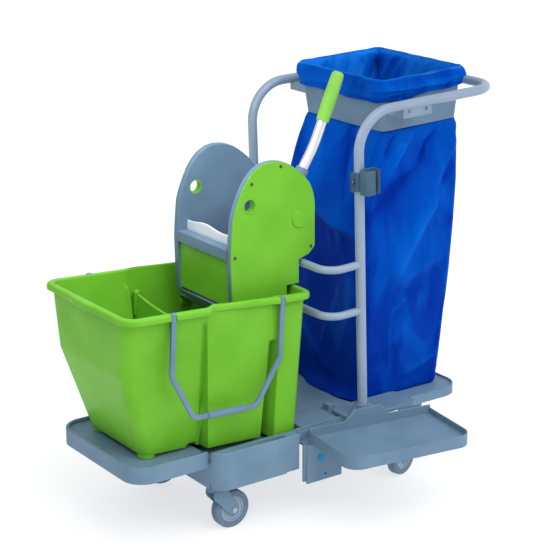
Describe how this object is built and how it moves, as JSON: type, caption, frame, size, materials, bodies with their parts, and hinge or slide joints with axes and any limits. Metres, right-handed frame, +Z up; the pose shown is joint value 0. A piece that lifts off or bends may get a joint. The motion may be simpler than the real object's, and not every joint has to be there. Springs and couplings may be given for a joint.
{
  "type": "janitor cart",
  "caption": "Wheeled cleaning cart with a divided bucket, geared press wringer, side tray and a sack stand with a bent tube push frame.",
  "frame": {"origin": "middle of the cart's outline in plan, on the floor under the wheels", "axes": "+X from the bucket end to the push handle, +Y from the side tray's side to the far side, +Z up"},
  "size_m": [1.1336, 0.7275, 1.1044],
  "materials": {
    "grey_polypropylene": "fine matt",
    "green_polypropylene": "satin",
    "powder_coated_tube": "semi-gloss powder coat",
    "blue_film": "glossy film",
    "white_polypropylene": "satin",
    "blue_plastic": "gloss",
    "steel": "zinc plated",
    "natural_acetal": "matt",
    "bright_aluminium": "bright drawn",
    "hub_plastic": "satin",
    "grey_tyre": "matt"
  },
  "bodies": {
    "chassis": {"bucket_tray": "grey_polypropylene", "caster_beam": "grey_polypropylene", "beam_coupler": "grey_polypropylene", "sack_deck": "grey_polypropylene", "post_foot_front": "grey_polypropylene", "post_foot_back": "grey_polypropylene", "side_tray": "grey_polypropylene", "side_tray_bracket": "grey_polypropylene", "coding_plug": "blue_plastic", "caster_stems": "steel", "push_frame": "powder_coated_tube", "lower_cross_bar": "powder_coated_tube", "upper_cross_bar": "powder_coated_tube", "tool_clip": "grey_polypropylene", "tool_clip_screw": "steel", "sack_collar": "grey_polypropylene", "collar_clip_front": "grey_polypropylene", "collar_clip_back": "grey_polypropylene", "waste_sack": "blue_film"},
    "caster_front_left": {"fork_front_left": "grey_polypropylene", "axle_front_left": "steel"},
    "wheel_front_left": {"hub_front_left": "hub_plastic", "tyre_front_left": "grey_tyre"},
    "caster_back_left": {"fork_back_left": "grey_polypropylene", "axle_back_left": "steel"},
    "wheel_back_left": {"hub_back_left": "hub_plastic", "tyre_back_left": "grey_tyre"},
    "caster_front_right": {"fork_front_right": "grey_polypropylene", "axle_front_right": "steel"},
    "wheel_front_right": {"hub_front_right": "hub_plastic", "tyre_front_right": "grey_tyre"},
    "caster_back_right": {"fork_back_right": "grey_polypropylene", "axle_back_right": "steel"},
    "wheel_back_right": {"hub_back_right": "hub_plastic", "tyre_back_right": "grey_tyre"},
    "bucket": {"bucket": "green_polypropylene"},
    "bail_front": {"bail_front": "grey_polypropylene"},
    "bail_back": {"bail_back": "grey_polypropylene"},
    "wringer": {"housing_front": "grey_polypropylene", "housing_back": "grey_polypropylene", "cover_front": "green_polypropylene", "cover_back": "green_polypropylene", "cover_screws": "steel", "wringer_tray": "grey_polypropylene", "wringer_crossbar": "grey_polypropylene", "strainer_plate": "white_polypropylene", "splash_panel": "green_polypropylene"},
    "jaw": {"press_jaw": "grey_polypropylene", "jaw_shaft": "steel", "jaw_gear_front": "natural_acetal", "jaw_gear_back": "natural_acetal"},
    "lever": {"lever_shaft": "steel", "lever_gear_front": "natural_acetal", "lever_gear_back": "natural_acetal", "lever_hub": "grey_polypropylene", "lever_tube": "bright_aluminium", "lever_grip": "green_polypropylene"}
  },
  "joints": [
    {"name": "swivel_front_left", "type": "hinge", "parent": "chassis", "child": "caster_front_left", "pos_m": [-0.28691, -0.05124, 0.1], "axis": [0, 0, 1], "continuous": true},
    {"name": "roll_front_left", "type": "hinge", "parent": "caster_front_left", "child": "wheel_front_left", "pos_m": [-0.24891, -0.05124, 0.05], "axis": [0, 1, 0], "continuous": true},
    {"name": "swivel_back_left", "type": "hinge", "parent": "chassis", "child": "caster_back_left", "pos_m": [-0.28691, 0.28276, 0.1], "axis": [0, 0, 1], "continuous": true},
    {"name": "roll_back_left", "type": "hinge", "parent": "caster_back_left", "child": "wheel_back_left", "pos_m": [-0.24949, 0.27616, 0.05], "axis": [0.1736, 0.9848, 0], "continuous": true},
    {"name": "swivel_front_right", "type": "hinge", "parent": "chassis", "child": "caster_front_right", "pos_m": [0.34509, -0.04024, 0.1], "axis": [0, 0, 1], "continuous": true},
    {"name": "roll_front_right", "type": "hinge", "parent": "caster_front_right", "child": "wheel_front_right", "pos_m": [0.30856, -0.05072, 0.05], "axis": [0.2756, -0.9613, 0], "continuous": true},
    {"name": "swivel_back_right", "type": "hinge", "parent": "chassis", "child": "caster_back_right", "pos_m": [0.34509, 0.27176, 0.1], "axis": [0, 0, 1], "continuous": true},
    {"name": "roll_back_right", "type": "hinge", "parent": "caster_back_right", "child": "wheel_back_right", "pos_m": [0.30838, 0.28159, 0.05], "axis": [-0.2588, -0.9659, 0], "continuous": true},
    {"name": "bucket_lift", "type": "slide", "parent": "chassis", "child": "bucket", "axis": [0, 0, 1], "range_m": [0, 0.2]},
    {"name": "bail_front_swing", "type": "hinge", "parent": "bucket", "child": "bail_front", "pos_m": [-0.26635, -0.08274, 0.59054], "axis": [-0.9986, 0, 0.0523], "range_deg": [0, 170]},
    {"name": "bail_back_swing", "type": "hinge", "parent": "bucket", "child": "bail_back", "pos_m": [-0.26635, 0.31426, 0.59054], "axis": [0.9986, 0, -0.0523], "range_deg": [0, 170]},
    {"name": "wringer_lift", "type": "slide", "parent": "bucket", "child": "wringer", "axis": [0, 0, 1], "range_m": [0, 0.15]},
    {"name": "lever_swing", "type": "hinge", "parent": "wringer", "child": "lever", "pos_m": [-0.00691, 0.11576, 0.754], "axis": [0, -1, 0], "range_deg": [0, 75]},
    {"name": "jaw_swing", "type": "hinge", "parent": "wringer", "child": "jaw", "pos_m": [-0.05391, 0.11576, 0.668], "axis": [0, -1, 0], "range_deg": [-45, 0]}
  ],
  "couplings": [
    {"joint": "jaw_swing", "follows": "lever_swing", "ratio": -0.6}
  ]
}
